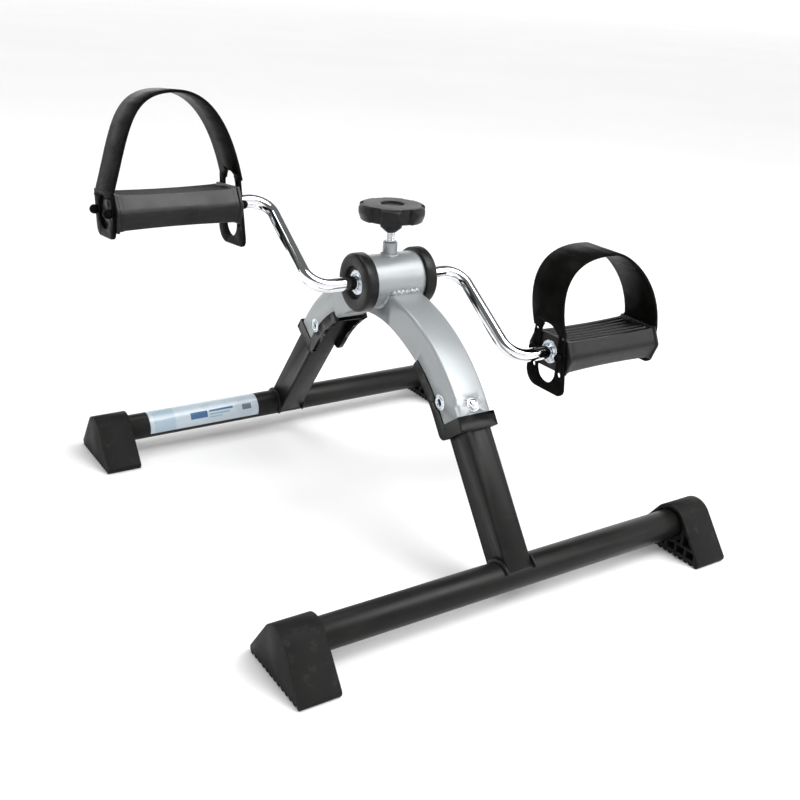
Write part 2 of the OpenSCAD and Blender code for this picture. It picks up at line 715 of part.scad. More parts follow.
module strap_studs(end) color("#101010") at_pedal(end) mirror([end < 0 ? 1 : 0, 0, 0])
    translate([strap_mid, 0, 0]) for (face = [0, 1], y = [-stud_y, stud_y])
        mirror([face, 0, 0]) translate([0, y, 0]) {
            plate_out = pedal_len / 2 + plate_t + seat_gap;
            ball_in = 2.2;
            rod_x(2.4, pedal_len / 2 - 8, plate_out + 2);
            translate([plate_out + ball_in, 0, 0]) intersection() {
                sphere(r = stud_head_r);
                translate([-ball_in, -10, -10]) cube([20, 20, 20]);
            }
        }

module left_strap_studs() strap_studs(-1);
module right_strap_studs() strap_studs(1);

// ---- tension knob ----

module brake_shoe() color("saddlebrown") at_hub() difference() {
    translate([0, 0, 3]) cylinder(r = 7, h = shoe_top - 3);
    rod_x(rod_r + seat_gap, -20, 20);
    translate([-10, -10, 0]) cube([20, 20, 4]);
}

module tension_screw() color("gainsboro") at_hub()
    translate([0, 0, shoe_top + seat_gap]) cylinder(r = screw_d / 2, h = 56 - shoe_top);

// Squarish lobes standing out from a round body
module knob_outline() {
    lobe_w = 17;
    circle(r = knob_d / 2 - 4.2);
    for (i = [0:knob_lobes - 1]) rotate(i * 360 / knob_lobes + knob_turn)
        translate([knob_d / 4, 0]) polygon(round_rect(knob_d / 2, lobe_w, 3.5));
}

module tension_knob() color("#181818") at_hub() difference() {
    crown = 5;
    under = 3;
    rim = knob_d / 2 + 0.8;
    union() {
        translate([0, 0, knob_base]) cylinder(r1 = screw_d / 2 + 0.8, r2 = 9.3, h = 4);
        translate([0, 0, knob_base + 4]) cylinder(r = 9.3, h = knob_low - knob_base);
        intersection() {
            translate([0, 0, knob_low]) linear_extrude(knob_top - knob_low) knob_outline();
            rotate_extrude() polygon(concat(
                [[0, knob_low], [rim - under, knob_low]],
                arc([rim - crown, knob_top - crown], crown, 0, 75, 6),
                [[0, knob_top]]
            ));
        }
    }
    cylinder(r = screw_d / 2 + seat_gap, h = 56 + face_gap);
    translate([0, 0, knob_top - 1.5]) cylinder(r = 10, h = 2);
}

arch_tube();
hub_tube();
hub_end_caps();
hub_bushes();
threaded_boss();
hub_weld_beads();
front_arch_liner();
rear_arch_liner();
front_pivot_rivet();
rear_pivot_rivet();
front_lock_button();
rear_lock_button();
front_leg_tube();
rear_leg_tube();
front_leg_welds();
rear_leg_welds();
front_lock_spring();
rear_lock_spring();
front_floor_tube();
rear_floor_tube();
front_left_foot();
front_right_foot();
rear_left_foot();
rear_right_foot();
rear_tube_label();
crank_rod();
hub_star_nuts();
pedal_star_nuts();
left_pedal_block();
right_pedal_block();
left_pedal_bushes();
right_pedal_bushes();
left_pedal_plug();
right_pedal_plug();
left_toe_strap();
right_toe_strap();
left_strap_studs();
right_strap_studs();
brake_shoe();
tension_screw();
tension_knob();
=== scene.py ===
import json
import math

import bmesh
import bpy
from mathutils import Matrix, Vector


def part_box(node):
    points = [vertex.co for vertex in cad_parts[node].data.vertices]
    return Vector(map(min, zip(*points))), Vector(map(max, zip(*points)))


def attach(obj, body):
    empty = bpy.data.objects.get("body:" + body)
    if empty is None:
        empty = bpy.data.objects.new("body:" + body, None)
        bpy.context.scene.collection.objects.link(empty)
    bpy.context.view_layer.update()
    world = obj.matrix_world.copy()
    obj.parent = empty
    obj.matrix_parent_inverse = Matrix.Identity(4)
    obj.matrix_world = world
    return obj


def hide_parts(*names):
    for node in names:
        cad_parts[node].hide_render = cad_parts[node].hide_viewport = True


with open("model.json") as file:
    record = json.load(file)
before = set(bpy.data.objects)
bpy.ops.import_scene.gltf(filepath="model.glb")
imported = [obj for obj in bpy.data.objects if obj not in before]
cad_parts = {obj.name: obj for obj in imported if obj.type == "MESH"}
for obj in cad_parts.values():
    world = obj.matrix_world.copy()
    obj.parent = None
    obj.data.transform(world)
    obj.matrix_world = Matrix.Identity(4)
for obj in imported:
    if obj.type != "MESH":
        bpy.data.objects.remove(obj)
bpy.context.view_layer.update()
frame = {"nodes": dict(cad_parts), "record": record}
NODES = frame["nodes"]
SCENE = bpy.context.scene


# ---------------------------------------------------------------- materials

class Shader:
    """A node tree round one Principled shader, with short calls for the nodes it needs."""

    def __init__(self, name, base, rough, metallic=0.0, **sockets):
        self.mat = bpy.data.materials.new(name)
        self.mat.use_nodes = True
        self.nt = self.mat.node_tree
        self.bsdf = self.nt.nodes["Principled BSDF"]
        self.set("Base Color", (*base, 1.0))
        self.set("Roughness", rough)
        self.set("Metallic", metallic)
        for key, value in sockets.items():
            self.set(key.replace("_", " "), value)
        self.coord = self.node("ShaderNodeTexCoord").outputs["Object"]

    def set(self, socket, value):
        self.bsdf.inputs[socket].default_value = value

    def node(self, kind, **props):
        n = self.nt.nodes.new(kind)
        for key, value in props.items():
            setattr(n, key, value)
        return n

    def link(self, a, b):
        self.nt.links.new(a, b)

    def noise(self, scale, detail=3.0, rough=0.5, distortion=0.0, stretch=None):
        n = self.node("ShaderNodeTexNoise")
        n.inputs["Scale"].default_value = scale
        n.inputs["Detail"].default_value = detail
        n.inputs["Roughness"].default_value = rough
        n.inputs["Distortion"].default_value = distortion
        source = self.coord
        if stretch:
            m = self.node("ShaderNodeMapping")
            m.inputs["Scale"].default_value = stretch
            self.link(source, m.inputs["Vector"])
            source = m.outputs["Vector"]
        self.link(source, n.inputs["Vector"])
        return n.outputs["Fac"]

    def span(self, value, low, high, to_low, to_high):
        n = self.node("ShaderNodeMapRange", clamp=True)
        limits = {"From Min": low, "From Max": high, "To Min": to_low, "To Max": to_high}
        for socket, v in limits.items():
            n.inputs[socket].default_value = v
        self.link(value, n.inputs["Value"])
        return n.outputs["Result"]

    def math(self, op, a, b):
        n = self.node("ShaderNodeMath", operation=op)
        for i, v in enumerate((a, b)):
            if isinstance(v, (int, float)):
                n.inputs[i].default_value = v
            else:
                self.link(v, n.inputs[i])
        return n.outputs["Value"]

    def mix(self, fac, a, b):
        n = self.node("ShaderNodeMix", data_type="RGBA")
        for i, v in ((0, fac), (6, a), (7, b)):
            if isinstance(v, tuple):
                n.inputs[i].default_value = (*v, 1.0)
            else:
                self.link(v, n.inputs[i])
        return n.outputs[2]

    def colour(self, out):
        self.link(out, self.bsdf.inputs["Base Color"])

    def roughness(self, out):
        self.link(out, self.bsdf.inputs["Roughness"])

    def bump(self, height, strength, distance):
        n = self.node("ShaderNodeBump")
        n.inputs["Strength"].default_value = strength
        n.inputs["Distance"].default_value = distance
        self.link(height, n.inputs["Height"])
        previous = self.bsdf.inputs["Normal"].links
        if previous:
            self.link(previous[0].from_socket, n.inputs["Normal"])
        self.link(n.outputs["Normal"], self.bsdf.inputs["Normal"])


def silver_paint():
    """Silver-grey enamel: fine metal flake under a thin clear coat, with slight orange peel."""
    s = Shader("silver_paint", (0.45, 0.47, 0.49), 0.38, 0.35,
               Coat_Weight=0.3, Coat_Roughness=0.16)
    flake = s.noise(5200, 1.0, 0.6)
    cloud = s.noise(28, 4.0)
    dark, light, dull = (0.25, 0.268, 0.275), (0.36, 0.381, 0.389), (0.28, 0.302, 0.315)
    tone = s.mix(s.span(flake, 0.35, 0.65, 0.0, 1.0), dark, light)
    s.colour(s.mix(s.span(cloud, 0.35, 0.7, 0.0, 0.35), tone, dull))
    s.roughness(s.span(cloud, 0.3, 0.7, 0.32, 0.44))
    s.bump(s.noise(420, 2.0), 0.12, 0.0004)
    s.bump(s.noise(60, 2.0), 0.06, 0.002)
    return s.mat


def black_paint():
    """Satin black powder coat, with faint rubbed streaks."""
    s = Shader("black_paint", (0.012, 0.012, 0.013), 0.40, Specular_IOR_Level=0.17)
    cloud = s.noise(22, 5.0)
    fine = s.noise(900, 2.0)
    rubbed = s.span(s.noise(70, 3.0, stretch=(0.15, 1.0, 1.0)), 0.58, 0.72, 0.0, 0.5)
    dark, light, worn = (0.005, 0.0047, 0.0044), (0.009, 0.0086, 0.0082), (0.020, 0.019, 0.018)
    s.colour(s.mix(rubbed, s.mix(s.span(cloud, 0.35, 0.7, 0.0, 1.0), dark, light), worn))
    s.roughness(s.math("ADD", s.span(cloud, 0.3, 0.75, 0.32, 0.44),
                       s.span(fine, 0.3, 0.7, -0.03, 0.05)))
    s.bump(fine, 0.25, 0.0003)
    s.bump(s.noise(140, 2.0), 0.10, 0.0008)
    return s.mat


def chrome():
    """Bright chrome plate with faint smears."""
    s = Shader("chrome", (0.80, 0.81, 0.83), 0.06, 1.0)
    smear = s.noise(45, 4.0, stretch=(0.4, 1.0, 1.0))
    s.roughness(s.span(smear, 0.3, 0.8, 0.03, 0.11))
    clean, smeared = (0.86, 0.87, 0.89), (0.76, 0.77, 0.79)
    s.colour(s.mix(s.span(smear, 0.4, 0.75, 0.0, 1.0), clean, smeared))
    s.bump(s.noise(600, 2.0), 0.03, 0.0002)
    return s.mat


def zinc_steel():
    """Bright zinc plate, faintly blue, with dull clouds."""
    s = Shader("zinc_steel", (0.66, 0.70, 0.74), 0.24, 1.0)
    cloud = s.noise(240, 4.0)
    s.roughness(s.span(cloud, 0.3, 0.75, 0.14, 0.36))
    bright, dull = (0.72, 0.77, 0.82), (0.54, 0.58, 0.63)
    s.colour(s.mix(s.span(s.noise(90, 3.0), 0.35, 0.7, 0.0, 1.0), bright, dull))
    s.bump(s.noise(1300, 2.0), 0.15, 0.0002)
    return s.mat


def spring_steel():
    """Blued strip steel with rolling lines."""
    s = Shader("spring_steel", (0.34, 0.35, 0.37), 0.34, 1.0)
    grain = s.noise(300, 3.0, stretch=(8.0, 1.0, 1.0))
    s.roughness(s.span(grain, 0.3, 0.7, 0.26, 0.46))
    s.bump(grain, 0.12, 0.0002)
    return s.mat


def moulded(name, dark, light, rough, grain_scale, grain, scuff, **sockets):
    """Moulded plastic or rubber: fine grain, slow colour drift and patches of light scuffing."""
    s = Shader(name, dark, rough[0], **sockets)
    drift = s.noise(35, 4.0)
    fine = s.noise(grain_scale, 2.0)
    body = s.mix(s.span(drift, 0.35, 0.7, 0.0, 1.0), dark, light)
    scuffed = s.span(s.noise(120, 5.0, 0.62), 0.56, 0.74, 0.0, scuff)
    s.colour(s.mix(scuffed, body, tuple(2.0 * c + 0.006 for c in light)))
    s.roughness(s.math("ADD", s.span(drift, 0.3, 0.75, *rough),
                       s.span(scuffed, 0.0, 1.0, 0.0, 0.12)))
    s.bump(fine, grain, 0.0003)
    s.bump(s.noise(grain_scale / 8, 2.0), grain * 0.5, 0.001)
    return s.mat


def label_film():
    """Pale printed film: a pale band across it, and plain blocks and bars along it."""
    s = Shader("label_film", (0.6, 0.66, 0.7), 0.28, Coat_Weight=0.4, Coat_Roughness=0.1)
    along = s.node("ShaderNodeSeparateXYZ")
    s.link(s.coord, along.inputs["Vector"])
    x, z = along.outputs["X"], along.outputs["Z"]

    def between(value, low, high):
        above = s.math("GREATER_THAN", value, low)
        return s.math("MULTIPLY", above, s.math("LESS_THAN", value, high))

    cloud = s.noise(40, 3.0)
    dark_blue, soft_blue, grey = (0.035, 0.10, 0.22), (0.20, 0.32, 0.42), (0.10, 0.12, 0.15)
    film_dark, film_light, band = (0.40, 0.47, 0.52), (0.45, 0.52, 0.57), (0.33, 0.42, 0.49)
    tone = s.mix(s.span(cloud, 0.3, 0.7, 0.0, 1.0), film_dark, film_light)
    tone = s.mix(between(x, -0.150, -0.128), tone, band)
    prints = (
        (-0.112, -0.094, 0.0290, 0.0352, dark_blue),
        (-0.092, -0.066, 0.0335, 0.0352, dark_blue),
        (-0.092, -0.070, 0.0305, 0.0320, soft_blue),
        (-0.092, -0.078, 0.0280, 0.0290, soft_blue),
        (-0.056, -0.046, 0.0300, 0.0350, grey),
    )
    for x_low, x_high, z_low, z_high, ink in prints:
        inked = s.math("MULTIPLY", between(x, x_low, x_high), between(z, z_low, z_high))
        tone = s.mix(inked, tone, ink)
    s.colour(tone)
    s.roughness(s.span(cloud, 0.3, 0.7, 0.24, 0.34))
    s.bump(s.noise(90, 2.0), 0.08, 0.0006)
    return s.mat


def brake_felt():
    """Brown pressed felt."""
    s = Shader("brake_felt", (0.23, 0.15, 0.09), 0.9, Sheen_Weight=0.3)
    fibre = s.noise(1500, 4.0, stretch=(1.0, 4.0, 1.0))
    dark, light = (0.19, 0.12, 0.07), (0.33, 0.23, 0.15)
    s.colour(s.mix(s.span(fibre, 0.3, 0.7, 0.0, 1.0), dark, light))
    s.bump(fibre, 0.5, 0.0005)
    return s.mat


def white_nylon():
    """Off-white nylon, slightly translucent."""
    s = Shader("white_nylon", (0.78, 0.77, 0.72), 0.45, Subsurface_Weight=0.1)
    light, dark = (0.80, 0.79, 0.74), (0.70, 0.68, 0.62)
    s.colour(s.mix(s.span(s.noise(80, 3.0), 0.35, 0.7, 0.0, 1.0), light, dark))
    s.bump(s.noise(900, 2.0), 0.1, 0.0002)
    return s.mat


MATERIALS = {
    "silver_paint": silver_paint(),
    "black_paint": black_paint(),
    "chrome": chrome(),
    "zinc_steel": zinc_steel(),
    "spring_steel": spring_steel(),
    "black_plastic": moulded(
        "black_plastic", (0.007, 0.0068, 0.0066), (0.011, 0.0108, 0.0105), (0.30, 0.42),
        grain_scale=1400, grain=0.18, scuff=0.3, Specular_IOR_Level=0.2),
    "pedal_plastic": moulded(
        "pedal_plastic", (0.004, 0.0039, 0.0038), (0.008, 0.0078, 0.0076), (0.30, 0.44),
        grain_scale=1100, grain=0.3, scuff=0.7, Specular_IOR_Level=0.26),
    "knob_plastic": moulded(
        "knob_plastic", (0.005, 0.005, 0.0052), (0.009, 0.009, 0.0094), (0.32, 0.44),
        grain_scale=1200, grain=0.2, scuff=0.3, Specular_IOR_Level=0.22),
    "strap_plastic": moulded(
        "strap_plastic", (0.004, 0.0038, 0.0036), (0.007, 0.0068, 0.0065), (0.22, 0.32),
        grain_scale=500, grain=0.06, scuff=0.25, Specular_IOR_Level=0.01),
    "white_nylon": white_nylon(),
    "black_rubber": moulded(
        "black_rubber", (0.006, 0.0058, 0.0056), (0.010, 0.0097, 0.0093), (0.50, 0.68),
        grain_scale=900, grain=0.35, scuff=0.8, Specular_IOR_Level=0.12),
    "label_film": label_film(),
    "brake_felt": brake_felt(),
}


# ---------------------------------------------------------------- helpers

JOINTS = {j["name"]: j for j in frame["record"]["behaviour"]["joints"]}
MM = 0.001
SHARP = 32.0    # degrees; edges that turn by more than this stay sharp
POINT = 0.01    # mm; the radius left where a lathed shape meets its axis


def dress(obj, material):
    obj.data.materials.clear()
    obj.data.materials.append(MATERIALS[material])


def smooth(obj, angle=SHARP):
    obj.data.shade_smooth()
    obj.data.set_sharp_from_angle(angle=math.radians(angle))


def soften(obj, width):
    """Rounds a mesh's sharp edges, so that they catch the light as moulded or formed ones do."""
    smooth(obj)
    weld = obj.modifiers.new("weld", "WELD")
    weld.merge_threshold = 0.00001
    bevel = obj.modifiers.new("bevel", "BEVEL")
    bevel.width = width
    bevel.segments = 2
    bevel.limit_method = "ANGLE"
    bevel.angle_limit = math.radians(SHARP)
    bevel.harden_normals = True
    bevel.miter_outer = "MITER_ARC"


def full_turn(count):
    """Equal angles round a circle."""
    return [2 * math.pi * i / count for i in range(count)]


class Build:
    """Points in millimetres and faces, gathered from several shapes into one piece."""

    def __init__(self):
        self.points = []
        self.faces = []

    def rings(self, rings, capped=False):
        """Joins equal closed rings of points, one after another."""
        start, count = len(self.points), len(rings[0])
        for ring in rings:
            self.points.extend(Vector(p) for p in ring)
        for r in range(len(rings) - 1):
            for i in range(count):
                j = (i + 1) % count
                a = start + r * count
                self.faces.append((a + i, a + j, a + count + j, a + count + i))
        if capped:
            last = start + (len(rings) - 1) * count
            self.faces.append(tuple(start + i for i in reversed(range(count))))
            self.faces.append(tuple(last + i for i in range(count)))
        return self

    def lathe(self, profile, segments=64):
        """Turns (radius, height) points about Z."""
        turn = full_turn(segments)
        return self.rings([[(r * math.cos(a), r * math.sin(a), h) for a in turn]
                           for r, h in profile])

    def tube(self, path, radius, segments=14):
        """A round bar along a path, with its radius given at each point and flat ends."""
        points = [Vector(p) for p in path]
        rings = []
        for i, p in enumerate(points):
            ahead = (points[min(i + 1, len(points) - 1)] - points[max(i - 1, 0)]).normalized()
            side = ahead.orthogonal().normalized()
            up = ahead.cross(side)
            rings.append([p + radius[i] * (math.cos(t) * side + math.sin(t) * up)
                          for t in full_turn(segments)])
        return self.rings(rings, capped=True)

    def moved(self, matrix):
        self.points = [matrix @ p for p in self.points]
        return self

    def add(self, other, matrix=Matrix.Identity(4)):
        start = len(self.points)
        self.points.extend(matrix @ p for p in other.points)
        self.faces.extend(tuple(start + i for i in f) for f in other.faces)
        return self

    def piece(self, name, material, body, replaced=(), angle=SHARP):
        """Makes the mesh, on its body, in place of the CAD nodes that it replaces."""
        mesh = bpy.data.meshes.new(name)
        mesh.from_pydata([p * MM for p in self.points], [], self.faces)
        bm = bmesh.new()
        bm.from_mesh(mesh)
        bmesh.ops.remove_doubles(bm, verts=bm.verts, dist=0.000002)
        bmesh.ops.recalc_face_normals(bm, faces=bm.faces)
        bm.to_mesh(mesh)
        bm.free()
        obj = bpy.data.objects.new(name, mesh)
        SCENE.collection.objects.link(obj)
        dress(obj, material)
        smooth(obj, angle)
        if replaced:
            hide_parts(*replaced)
        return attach(obj, body)


def frame_on(origin, z_axis, x_axis=(1.0, 0.0, 0.0)):
    """A placement whose Z runs along z_axis, from a point in millimetres."""
    z = Vector(z_axis).normalized()
    x = (Vector(x_axis) - Vector(x_axis).dot(z) * z).normalized()
    return Matrix.Translation(origin) @ Matrix((x, z.cross(x), z)).transposed().to_4x4()


def joint_at(name):
    """A joint's place in millimetres."""
    return Vector(JOINTS[name]["pos_m"]) / MM


# ---------------------------------------------------------------- pedals

PEDAL_IN, PEDAL_OUT = (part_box("right_pedal_block")[i].x / MM for i in (0, 1))
PEDAL_BORE, PEDAL_POCKET, POCKET_DEPTH = 8.6, 12.05, 10.0


def pedal_section(u, grow, ribs):
    """One outline of a pedal, (y, z); u runs from -1 to 1 along it and the middle is waisted.

    grow widens it for the flanges, and ribs runs from 0, flat, to 1, full ribs and waist.
    """
    wide = 1 - 0.055 * (1 - u * u) * ribs
    tall = 1 - 0.07 * (1 - u * u) * ribs
    half_top, half_mid, half_low, half_t = 20 + grow, 27 + grow, 21 + grow, 14 + grow
    steps, pitch, groove_half, groove_deep, rib_crown = 60, 6, 1.5, 1.5, 0.35

    def ribbed(half, sign):
        line = []
        for i in range(steps + 1):
            y = half * (1 - 2 * i / steps)
            nearest = min(abs(y - pitch * k) for k in (-2.5, -1.5, -0.5, 0.5, 1.5, 2.5))
            groove = max(0.0, 1 - (nearest / groove_half) ** 2) * groove_deep * ribs
            crown = rib_crown * ribs * math.cos(math.pi * y / 3) ** 2
            line.append((y * wide, sign * (half_t * tall - groove - crown)))
        return line

    def side(y0, z0, y1, z1):
        return [(wide * (y0 + (y1 - y0) * t), tall * (z0 + (z1 - z0) * t))
                for t in (0.06, 0.35, 0.65, 0.94)]

    top, low = ribbed(half_top, 1), ribbed(half_low, -1)[::-1]
    return (top + side(-half_top, half_t, -half_mid, 0) + side(-half_mid, 0, -half_low, -half_t)
            + low + side(half_low, -half_t, half_mid, 0) + side(half_mid, 0, half_top, half_t))


def pedal_shape():
    """A pedal along +X, about its own axis: ribbed body, end flanges, bore and outboard pocket."""
    length = PEDAL_OUT - PEDAL_IN
    flange = 2.6
    end = [(0.0, 0.7, 0.0), (0.5, 1.2, 0.0), (flange - 0.5, 1.2, 0.0), (flange, 0.8, 0.0),
           (flange + 0.3, 0.0, 0.0), (flange + 2.2, 0.0, 0.0), (flange + 3.6, 0.0, 0.85),
           (flange + 4.6, 0.0, 1.0)]
    body = [(length * (0.075 + 0.85 * i / 18), 0.0, 1.0) for i in range(1, 18)]
    stations = end + body + [(length - x, grow, ribs) for x, grow, ribs in reversed(end)]
    b = Build()
    b.rings([[(PEDAL_IN + x, y, z) for y, z in pedal_section(2 * x / length - 1, grow, ribs)]
             for x, grow, ribs in stations])

    def bore(x, r):
        return [(x, r * math.cos(a), r * math.sin(a)) for a in full_turn(48)]

    pocket_floor = PEDAL_OUT - POCKET_DEPTH
    b.rings([bore(PEDAL_IN, PEDAL_BORE), bore(pocket_floor, PEDAL_BORE),
             bore(pocket_floor, PEDAL_POCKET), bore(PEDAL_OUT, PEDAL_POCKET)])
    return b


def close_ends(obj, x_ends):
    """Fills each flat end of a pedal between its outline and its bore."""
    bm = bmesh.new()
    bm.from_mesh(obj.data)
    for x in x_ends:
        rim = [e for e in bm.edges
               if e.is_boundary and all(abs(v.co.x - x * MM) < 1e-5 for v in e.verts)]
        bmesh.ops.triangle_fill(bm, use_beauty=True, use_dissolve=False, edges=rim)
    bmesh.ops.recalc_face_normals(bm, faces=bm.faces)
    bm.to_mesh(obj.data)
    bm.free()


def pedals():
    """Both pedals, each with its tilt in degrees and the side that it is on."""
    shape = pedal_shape()
    for side, tilt, flip in (("left", -5.0, -1), ("right", 0.0, 1)):
        axis = joint_at(side + "_pedal_turn") * MM
        b = Build().add(shape, Matrix.Diagonal((flip, 1, 1, 1)))
        obj = b.piece(side + "_pedal_body", "pedal_plastic", side + "_pedal",
                      (side + "_pedal_block",))
        close_ends(obj, (flip * PEDAL_IN, flip * PEDAL_OUT))
        tilted = Matrix.Rotation(math.radians(tilt), 4, "X")
        obj.data.transform(Matrix.Translation((0, axis.y, axis.z)) @ tilted)
        smooth(obj, 34)


# ---------------------------------------------------------------- rivets, buttons and push nuts

def leg_axes(side):
    """Outward and upward directions of a leg, and its pivot, on the front (-1) or the back (1)."""
    word = "front" if side < 0 else "rear"
    out = -Vector(JOINTS[word + "_lock_press"]["axis"]).normalized()
    up = Vector((0, -side * out.z, side * out.y))
    return out, up, joint_at(word + "_leg_fold")


def rivets():
    """Hollow rivets: a thin washer face, a rolled lip and a drilled middle at each end."""
    drilled = [(POINT, 9.0), (2.5, 9.2), (2.6, 14.6), (2.8, 16.2)]
    lip = [(3.1, 16.95), (3.6, 17.45), (4.2, 17.58), (4.8, 17.35), (5.15, 16.9)]
    washer = [(5.4, 16.62), (6.35, 16.58), (6.58, 16.4), (6.6, 16.1), (4.0, 16.05)]
    head = drilled + lip + washer + [(4.0, 8.0)]
    profile = head + [(r, -h) for r, h in reversed(head)]
    for side, word in ((-1, "front"), (1, "rear")):
        pivot = leg_axes(side)[2]
        across = frame_on(pivot, (1, 0, 0), (0, 0, 1))
        Build().lathe(profile, 56).moved(across).piece(
            word + "_rivet", "zinc_steel", "frame", (word + "_pivot_rivet",), 40)


def buttons():
    """Sprung lock buttons: a domed stem in a pressed ring on the arch's face."""
    flange = [(POINT, 12.88), (5.55, 12.88), (5.6, 13.0), (5.55, 13.22)]
    stem = [(4.35, 13.25), (4.38, 13.6), (4.38, 16.6)]
    dome = [(4.2, 17.3), (3.7, 18.0), (2.9, 18.45), (1.9, 18.7), (0.9, 18.78), (POINT, 18.8)]
    button = flange + stem + dome
    ring = [(4.6, 14.7), (4.6, 15.2), (4.75, 15.5), (5.1, 15.66), (5.6, 15.58), (5.95, 15.3),
            (6.05, 15.02), (6.0, 14.7)]
    ahead_of_pivot, below_pivot = 5.0, 10.1
    for side, word in ((-1, "front"), (1, "rear")):
        out, up, pivot = leg_axes(side)
        on_leg = frame_on(pivot + ahead_of_pivot * out - below_pivot * up, out)
        Build().lathe(button, 56).moved(on_leg).piece(
            word + "_button", "chrome", word + "_button", (word + "_lock_button",), 40)
        Build().lathe(ring, 56).moved(on_leg).piece(
            word + "_button_ring", "zinc_steel", "frame")


def push_nut(radius):
    """A dished nut along +Z from z = 0, its bore cut into eight spring teeth."""
    teeth = [(6.05, 1.18), (6.7, 1.02), (7.5, 0.78), (8.3, 0.62)]
    dish = [(8.9, 0.66), (radius - 1.3, 0.92), (radius - 0.7, 0.86), (radius - 0.2, 0.5),
            (radius, 0.1)]
    rings = teeth + dish
    steps, slot_pitch, sheet, lowest = 96, 12, 0.3, 0.02
    b = Build()
    for drop in (0.0, sheet):
        for r, h in rings:
            b.points.extend(Vector((r * math.cos(t), r * math.sin(t), max(lowest, h - drop)))
                            for t in full_turn(steps))

    def at(layer, ring, i):
        return (layer * len(rings) + ring) * steps + i % steps

    def cut(ring, i):
        return ring < len(teeth) - 1 and i % slot_pitch in (0, 1)

    for ring in range(len(rings) - 1):
        for i in range(steps):
            if cut(ring, i):
                continue
            b.faces.append((at(0, ring, i), at(0, ring, i + 1),
                            at(0, ring + 1, i + 1), at(0, ring + 1, i)))
            b.faces.append((at(1, ring, i + 1), at(1, ring, i),
                            at(1, ring + 1, i), at(1, ring + 1, i + 1)))
            if ring == 0 or cut(ring - 1, i):
                b.faces.append((at(0, ring, i), at(1, ring, i),
                                at(1, ring, i + 1), at(0, ring, i + 1)))
            for side in (0, 1):
                if cut(ring, i - 1 + 2 * side):
                    j = i + side
                    b.faces.append((at(0, ring, j), at(0, ring + 1, j),
                                    at(1, ring + 1, j), at(1, ring, j)))
    return b


def push_nuts():
    """Two nuts against the hub's caps, and two on each pedal: inboard and in its pocket."""
    up = (0, 0, 1)
    nut_height, gap = 1.2, 0.1
    low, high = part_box("hub_star_nuts")
    hub_face = (high.x - low.x) / MM / 2 - nut_height
    hub = joint_at("crank_turn")
    on_hub = Build()
    for end in (-1, 1):
        on_hub.add(push_nut(11.0), frame_on(hub + Vector((end * hub_face, 0, 0)), (end, 0, 0), up))
    on_hub.piece("hub_push_nuts", "zinc_steel", "crankshaft", ("hub_star_nuts",), 40)
    on_pedals = Build()
    for side, end in (("left", -1), ("right", 1)):
        axis = joint_at(side + "_pedal_turn")
        inner = Vector((end * (PEDAL_IN - gap), axis.y, axis.z))
        outer = Vector((end * (PEDAL_OUT - POCKET_DEPTH + gap), axis.y, axis.z))
        on_pedals.add(push_nut(10.5), frame_on(inner, (-end, 0, 0), up))
        on_pedals.add(push_nut(10.5), frame_on(outer, (end, 0, 0), up))
    on_pedals.piece("pedal_push_nuts", "zinc_steel", "crankshaft", ("pedal_star_nuts",), 40)


# ---------------------------------------------------------------- hub welds and tension screw

def lumpy(count, radius, waves, seed):
    """A weld bead's radius at each point of its length: uneven puddles, tapering at both ends."""
    out = []
    for i in range(count):
        t = i / (count - 1)
        puddle = abs(math.sin(waves * math.pi * t + seed))
        out.append(radius * (0.84 + 0.16 * puddle + 0.08 * math.sin(11.3 * t + 2.1 * seed))
                   * min(1.0, 0.25 + 9 * min(t, 1 - t)))
    return out


def hub_welds():
    """Beads across the arch in front and behind, down both its sides, and round the boss."""
    hub = joint_at("crank_turn")
    low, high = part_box("hub_tube")
    hub_r = (high.z - low.z) / MM / 2
    meet_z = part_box("arch_tube")[1].z / MM - 0.6
    meet_y = math.sqrt(hub_r ** 2 - (hub.z - meet_z) ** 2)
    half_length, side_x, side_r, boss_r = 14.5, 16.7, hub_r + 0.3, 6.4
    side_start, side_sweep = 198, 144
    n = 90
    b = Build()
    for side in (-1, 1):
        line = [(half_length * (2 * i / (n - 1) - 1),
                 side * (meet_y + 0.7 + 0.4 * math.sin(0.31 * i)),
                 meet_z + 0.9 + 0.4 * math.sin(0.43 * i + side)) for i in range(n)]
        b.tube(line, lumpy(n, 2.7, 11, 0.4 * side))
        sweep = [math.radians(side_start + side_sweep * i / (n - 1)) for i in range(n)]
        arc = [(side * side_x, side_r * math.cos(t), hub.z + side_r * math.sin(t)) for t in sweep]
        b.tube(arc, lumpy(n, 2.0, 24, 1.1 * side))
    ring = []
    for t in full_turn(72):
        out = Vector((math.cos(t), math.sin(t), 0))
        r = 1.6 * (0.86 + 0.14 * abs(math.sin(9 * t)) + 0.05 * math.sin(5 * t))
        on_hub = hub.z + math.sqrt(hub_r ** 2 - (boss_r * math.sin(t)) ** 2)
        middle = Vector((hub.x, 0, on_hub)) + boss_r * out
        ring.append([middle + r * (math.cos(k) * out + math.sin(k) * Vector((0, 0, 1)))
                     for k in full_turn(12)])
    b.rings(ring + [ring[0]])
    b.piece("hub_welds", "silver_paint", "frame", ("hub_weld_beads",), 60)


